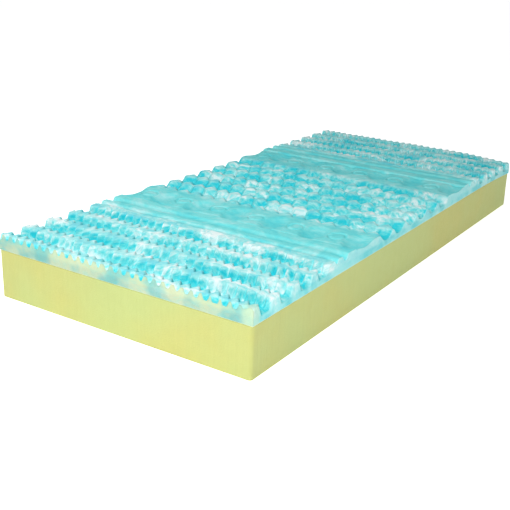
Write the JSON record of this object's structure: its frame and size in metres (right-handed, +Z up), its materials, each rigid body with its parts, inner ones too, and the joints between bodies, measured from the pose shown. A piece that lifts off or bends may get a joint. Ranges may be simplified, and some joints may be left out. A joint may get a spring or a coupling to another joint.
{
  "type": "pressure relief mattress",
  "caption": "Foam mattress core for a hospital bed: flat base foam under a swirled gel foam topper cut into comfort zones, in sections that fold with the bed.",
  "frame": {"origin": "centre of the underside at rest", "axes": "+Y along the length towards the head end, +X across the width, +Z up from the bed deck to the sleeping surface"},
  "size_m": [0.9144, 2.032, 0.2032],
  "materials": {
    "base_foam": "matt open-cell polyurethane foam, pale yellow-green, smooth sawn faces",
    "gel_foam": "gel memory foam, marbled cyan and white, soft matt with a faint gloss",
    "glue_film": "thin clear contact adhesive, satin"
  },
  "bodies": {
    "calf_section": {"base_foam_calf": "base_foam", "glue_film_calf": "glue_film", "gel_topper_calf": "gel_foam"},
    "thigh_section": {"base_foam_thigh": "base_foam", "glue_film_thigh": "glue_film", "gel_topper_thigh": "gel_foam"},
    "seat_section": {"base_foam_seat": "base_foam", "glue_film_seat": "glue_film", "gel_topper_seat": "gel_foam"},
    "back_section": {"base_foam_back": "base_foam", "glue_film_back": "glue_film", "gel_topper_back": "gel_foam"}
  },
  "joints": [
    {"name": "back_raise", "type": "hinge", "parent": "seat_section", "child": "back_section", "pos_m": [0, 0.191, 0.2032], "axis": [1, 0, 0], "range_deg": [0, 65], "stiffness_Nm_per_rad": 30},
    {"name": "thigh_raise", "type": "hinge", "parent": "seat_section", "child": "thigh_section", "pos_m": [0, 0, 0.2032], "axis": [-1, 0, 0], "range_deg": [0, 30], "stiffness_Nm_per_rad": 30},
    {"name": "calf_bend", "type": "hinge", "parent": "thigh_section", "child": "calf_section", "pos_m": [0, -0.2865, 0], "axis": [1, 0, 0], "range_deg": [0, 43], "stiffness_Nm_per_rad": 30}
  ],
  "couplings": [
    {"joint": "calf_bend", "follows": "thigh_raise", "ratio": 1.42}
  ]
}
